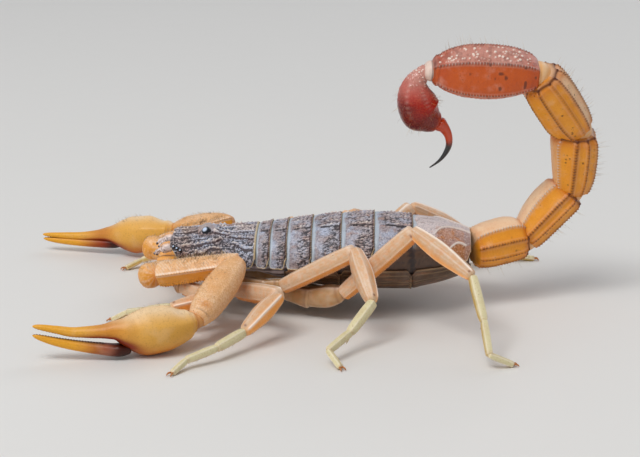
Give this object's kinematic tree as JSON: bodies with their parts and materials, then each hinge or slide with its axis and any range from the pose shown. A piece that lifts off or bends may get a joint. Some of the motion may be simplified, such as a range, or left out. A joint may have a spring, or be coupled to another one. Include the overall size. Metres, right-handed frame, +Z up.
{
  "type": "scorpion model",
  "caption": "Life-size still scorpion standing with claws spread forward and tail arched over its back.",
  "frame": {"origin": "centre of the animal's footprint box, on the floor it stands on", "axes": "+X towards the tail end, -X towards the head; +Y to the animal's right side; +Z up"},
  "size_m": [0.0506, 0.0384, 0.0231],
  "materials": {
    "carapace": "granular satin cuticle, grey-brown with pale crests",
    "body_plate": "granular satin cuticle, blue-grey brown with pale fore bands",
    "belly": "smooth satin cuticle, warm brown",
    "eye": "glossy black",
    "jaw": "satin cuticle, pale with dark mottling",
    "pedipalp": "granular satin cuticle, pinkish tan over amber",
    "claw": "smooth glossy amber cuticle with red-brown finger bases",
    "leg": "satin cuticle, pinkish tan over orange",
    "foot": "satin cuticle, pale cream yellow",
    "tail": "satin amber cuticle with dark beaded keels",
    "tail_end": "satin red-orange cuticle with pale granules",
    "venom_bulb": "glossy dark red cuticle",
    "sting": "glossy, amber at the root and black at the point"
  },
  "bodies": {
    "root": {"body_ring_1": "body_plate", "body_ring_2": "body_plate", "body_ring_3": "body_plate", "body_ring_4": "body_plate", "body_ring_5": "body_plate", "body_ring_6": "body_plate", "body_ring_7": "body_plate", "carapace": "carapace", "chelicera_left": "jaw", "chelicera_right": "jaw", "leg_left_1_foot": "foot", "leg_left_1_patella": "leg", "leg_left_1_upper": "leg", "leg_left_2_foot": "foot", "leg_left_2_patella": "leg", "leg_left_2_upper": "leg", "leg_left_3_foot": "foot", "leg_left_3_patella": "leg", "leg_left_3_upper": "leg", "leg_left_4_foot": "foot", "leg_left_4_patella": "leg", "leg_left_4_upper": "leg", "leg_right_1_foot": "foot", "leg_right_1_patella": "leg", "leg_right_1_upper": "leg", "leg_right_2_foot": "foot", "leg_right_2_patella": "leg", "leg_right_2_upper": "leg", "leg_right_3_foot": "foot", "leg_right_3_patella": "leg", "leg_right_3_upper": "leg", "leg_right_4_foot": "foot", "leg_right_4_patella": "leg", "leg_right_4_upper": "leg", "median_eye_left": "eye", "median_eye_right": "eye", "pecten_left": "belly", "pecten_right": "belly", "pedipalp_left_femur": "pedipalp", "pedipalp_left_hand": "claw", "pedipalp_left_movable_finger": "claw", "pedipalp_left_patella": "pedipalp", "pedipalp_left_trochanter": "pedipalp", "pedipalp_right_femur": "pedipalp", "pedipalp_right_hand": "claw", "pedipalp_right_movable_finger": "claw", "pedipalp_right_patella": "pedipalp", "pedipalp_right_trochanter": "pedipalp", "prosoma_underside": "belly", "sting": "sting", "tail_segment_1": "tail", "tail_segment_2": "tail", "tail_segment_3": "tail", "tail_segment_4": "tail", "tail_segment_5": "tail_end", "vesicle": "venom_bulb"}
  },
  "joints": []
}
